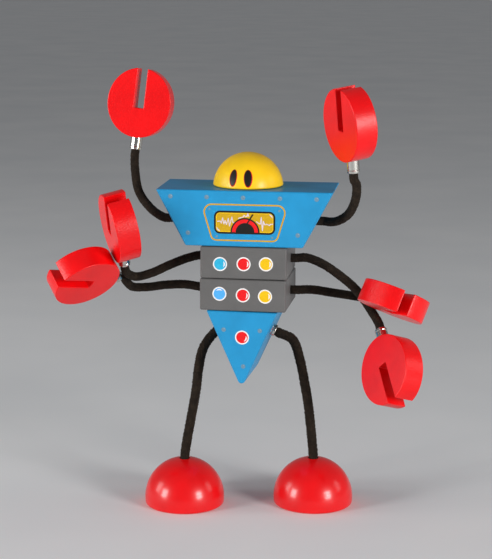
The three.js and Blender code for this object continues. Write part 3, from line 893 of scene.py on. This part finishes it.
def belly_print(block, heights, shines):
    sheet = Print(f"{block}_belly_print")
    colours = (CYAN_INK if block == "upper" else SKY_INK, RED_INK, YELLOW_INK)
    for x, z, look, shine in zip((-12.9, 0.2, 12.6), heights, colours, shines):
        button(sheet, (x, z), look, shine)
    sheet.finish(block)


def pelvis_print():
    sheet = Print("pelvis_print")
    button(sheet, (0.4, 102.6), RED_INK, -20)
    for x, z in ((-10, 106.6), (10.4, 106.8), (1.1, 86.1)):
        rivet(sheet, (x, z), RIVET)
    sheet.finish("pelvis")


def on_head(x, z, u, v, tilt, lift):
    """A point of an eye centred at (x, z) on the head's front: u and v run across and up the surface."""
    heart = Vector((0, 0, HEAD_HEIGHT - HEAD_RADIUS))
    height = z - heart.z
    centre = Vector((x, -math.sqrt(HEAD_RADIUS**2 - x**2 - height**2), height))
    right = Vector((0, 0, 1)).cross(centre).normalized() * -1
    up = centre.cross(right).normalized()
    if up.z < 0:
        up = -up
    turn = math.radians(tilt)
    u, v = u * math.cos(turn) + v * math.sin(turn), v * math.cos(turn) - u * math.sin(turn)
    if right.x < 0:
        right = -right
    point = centre + right * u + up * v
    return heart + point.normalized() * (HEAD_RADIUS + lift)


# The eyes' ovals on the head's front: middle X and Z, width, height and tilt, then how many ink layers lie
# above the paint, and which ink: 0 is the red rim, and 1 is the black middle.
EYES = [
    (-6.1, 6.1, 4.5, 10.2, -3, 1, 0),
    (-6.1, 6.2, 3.9, 9.5, -3, 2, 1),
    (2.3, 6, 4.9, 10.4, 0, 1, 0),
    (2.2, 6.1, 4.2, 9.7, 0, 2, 1),
]
EYE_LAYER = 0.03


def eyes():
    bm = bmesh.new()
    rings, sides = 10, 48
    for x, z, width, height, tilt, layers, look in EYES:
        lift = layers * EYE_LAYER
        loops = [[bm.verts.new(on_head(x, z, 0, 0, tilt, lift))]]
        for r in range(1, rings + 1):
            share = r / rings
            loop = []
            for k in range(sides):
                a = 2 * math.pi * k / sides
                u, v = width / 2 * share * math.cos(a), height / 2 * share * math.sin(a)
                loop.append(bm.verts.new(on_head(x, z, u, v, tilt, lift)))
            loops.append(loop)
        for low, high in zip(loops, loops[1:]):
            for k in range(sides):
                j = (k + 1) % sides
                corners = [low[k % len(low)], high[k], high[j], low[j % len(low)]]
                bm.faces.new(list(dict.fromkeys(corners))).material_index = look
        rim = []
        for k in range(sides):
            a = 2 * math.pi * k / sides
            u, v = width / 2 * math.cos(a), height / 2 * math.sin(a)
            rim.append(bm.verts.new(on_head(x, z, u, v, tilt, -EYE_LAYER)))
        bm.faces.new(rim).material_index = look
        for k in range(sides):
            bm.faces.new((loops[-1][k - 1], loops[-1][k], rim[k], rim[k - 1])).material_index = look
    bmesh.ops.recalc_face_normals(bm, faces=bm.faces)
    mesh = metre_mesh(bm, "head_eyes")
    mesh.shade_smooth()
    for look in (RED_INK, BLACK_INK):
        mesh.materials.append(look)
    piece("head_eyes", mesh, head_place(), "head", "yellow_paint")


def head_place():
    return block_frame("chest") @ Matrix.Translation(Vector((*HEAD_OFFSET, HEAD_BASE)) * MM)


# ---------------------------------------------------------------- the robot

piece("chest_body", chest(), block_frame("chest"), "chest", "blue_paint", "chest_block",
      material=BLUE, flat=True)
for block, bottom in (("upper", UPPER_BOTTOM), ("lower", LOWER_BOTTOM)):
    piece(f"{block}_belly_body", belly(block, bottom), block_frame(block), BODY[block], "grey_paint",
          f"{block}_block", material=GREY, flat=True)
piece("pelvis_body", pelvis(), block_frame("pelvis"), "pelvis", "blue_paint", "pelvis_block",
      material=BLUE, flat=True)
piece("head_ball", head(), head_place(), "head", "yellow_paint", "head_dome", material=YELLOW)
for spec in ARMS:
    add_arm(*spec)
for spec in LEGS:
    add_leg(*spec)
chest_print()
belly_print("upper", (143.7, 144, 144.3), (0, 0, 0))
belly_print("lower", (126.9, 126.5, 126.2), (92, -5, 5))
pelvis_print()
eyes()

for node, made in frame["nodes"].items():
    if node.endswith("magnet"):
        made.data.materials.clear()
        made.data.materials.append(MAGNET)


# ---------------------------------------------------------------- the studio


FLOOR_REACH = 100  # metres from the floor's middle to its edges
LIGHTS_AIM = 0.1  # metres above the floor


def studio_floor():
    bm = bmesh.new()
    bmesh.ops.create_grid(bm, x_segments=2, y_segments=2, size=FLOOR_REACH)
    mesh = bpy.data.meshes.new("floor")
    bm.to_mesh(mesh)
    bm.free()
    made, tree, principled = shader("floor_paper", 0.8)
    tone = noise(tree, (6, 6, 6), detail=2, baked=False)
    stops = [(0.3, linear("ecedee")), (0.7, linear("f4f4f4"))]
    tree.links.new(ramp(tree, tone, stops), principled.inputs["Base Color"])
    mesh.materials.append(made)
    floor = add_object("floor", mesh)


def way_to(azimuth, elevation):
    """The direction at two angles in degrees. Azimuth 0 is in front, and 90 is on the right."""
    a, e = math.radians(azimuth), math.radians(elevation)
    return Vector((math.sin(a) * math.cos(e), -math.cos(a) * math.cos(e), math.sin(e)))


def softbox(name, azimuth, elevation, distance, size, power):
    """A soft light on the robot."""
    light = bpy.data.lights.new(name, "AREA")
    light.shape = "RECTANGLE"
    light.size, light.size_y = size
    light.energy = power
    made = add_object(name, light)
    way = way_to(azimuth, elevation)
    made.location = Vector((AXIS.x, AXIS.y, LIGHTS_AIM)) + way * distance
    made.rotation_mode = "QUATERNION"
    made.rotation_quaternion = way.to_track_quat("Z", "Y")


def world_light(strength):
    world = bpy.data.worlds.new("studio")
    world.use_nodes = True
    background = world.node_tree.nodes["Background"]
    background.inputs["Color"].default_value = (0.95, 0.97, 1, 1)
    background.inputs["Strength"].default_value = strength
    bpy.context.scene.world = world


def camera(azimuth, elevation, roll, distance, target, lens):
    """The camera, with its target in millimetres from the stack's axis on the floor."""
    data = bpy.data.cameras.new("camera")
    data.lens = lens
    made = add_object("camera", data)
    back = way_to(azimuth, elevation)
    made.location = (Vector((AXIS.x, AXIS.y, 0)) + Vector(target) * MM) + back * distance
    made.rotation_mode = "QUATERNION"
    made.rotation_quaternion = back.to_track_quat("Z", "Y") @ Quaternion((0, 0, 1), math.radians(roll))
    bpy.context.scene.camera = made


studio_floor()
world_light(0.2)
softbox("left_far", -80, 15, 1.3, (0.35, 0.5), 3)
softbox("left_near", -54, 10, 1.4, (0.4, 0.5), 11)
softbox("right_near", 52, 10, 1.4, (0.4, 0.5), 13.5)
softbox("right_far", 94, 18, 1.3, (0.35, 0.5), 1.2)
camera(azimuth=7.66, elevation=11.19, roll=0.2, distance=0.93, target=(-1.4, -0.6, 131.3), lens=106.26)
bpy.context.scene.view_settings.view_transform = "Standard"
